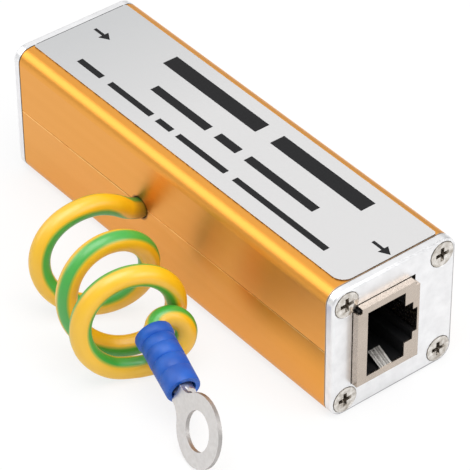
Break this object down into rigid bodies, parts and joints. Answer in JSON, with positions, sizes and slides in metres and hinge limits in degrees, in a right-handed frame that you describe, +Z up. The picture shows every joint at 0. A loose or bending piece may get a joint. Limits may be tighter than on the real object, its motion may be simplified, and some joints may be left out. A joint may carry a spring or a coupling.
{
  "type": "ethernet surge protector",
  "caption": "In-line network surge protector: split gold anodised body, screwed end plates with shielded sockets, coiled earth lead with ring terminal.",
  "frame": {"origin": "on the resting face under the middle of the body", "axes": "+X along the body towards the outgoing socket, +Y away from the side where the earth lead leaves, +Z up"},
  "size_m": [0.0866, 0.0518, 0.0252],
  "materials": {
    "gold_anodised": "gold anodised, satin",
    "satin_plate": "satin",
    "nickel": "nickel plated",
    "label": "silver film",
    "board": "green laminate",
    "black_plastic": "moulded",
    "contact": "gold plated",
    "tube": "fired",
    "insulation": "yellow with green stripes",
    "copper": "bare stranded copper",
    "sleeve": "blue insulating sleeve"
  },
  "bodies": {
    "root": {"housing_lower": "gold_anodised", "housing_upper": "gold_anodised", "end_plate_out": "satin_plate", "end_plate_in": "satin_plate", "end_screw_out_1": "nickel", "end_screw_out_2": "nickel", "end_screw_out_3": "nickel", "end_screw_out_4": "nickel", "end_screw_in_1": "nickel", "end_screw_in_2": "nickel", "end_screw_in_3": "nickel", "end_screw_in_4": "nickel", "top_label": "label", "circuit_board": "board", "jack_shield_out": "nickel", "jack_shield_in": "nickel", "jack_insert_out": "black_plastic", "jack_insert_in": "black_plastic", "jack_contact_out_1": "contact", "jack_contact_out_2": "contact", "jack_contact_out_3": "contact", "jack_contact_out_4": "contact", "jack_contact_out_5": "contact", "jack_contact_out_6": "contact", "jack_contact_out_7": "contact", "jack_contact_out_8": "contact", "jack_contact_in_1": "contact", "jack_contact_in_2": "contact", "jack_contact_in_3": "contact", "jack_contact_in_4": "contact", "jack_contact_in_5": "contact", "jack_contact_in_6": "contact", "jack_contact_in_7": "contact", "jack_contact_in_8": "contact", "gas_tube_1": "tube", "gas_tube_2": "tube", "gas_tube_3": "tube", "gas_tube_4": "tube", "clamping_diode_1": "black_plastic", "clamping_diode_2": "black_plastic", "clamping_diode_3": "black_plastic", "clamping_diode_4": "black_plastic", "earth_lead": "insulation", "earth_conductor_inner": "copper", "earth_conductor_outer": "copper", "terminal_sleeve": "sleeve", "ring_terminal": "nickel"}
  },
  "joints": []
}
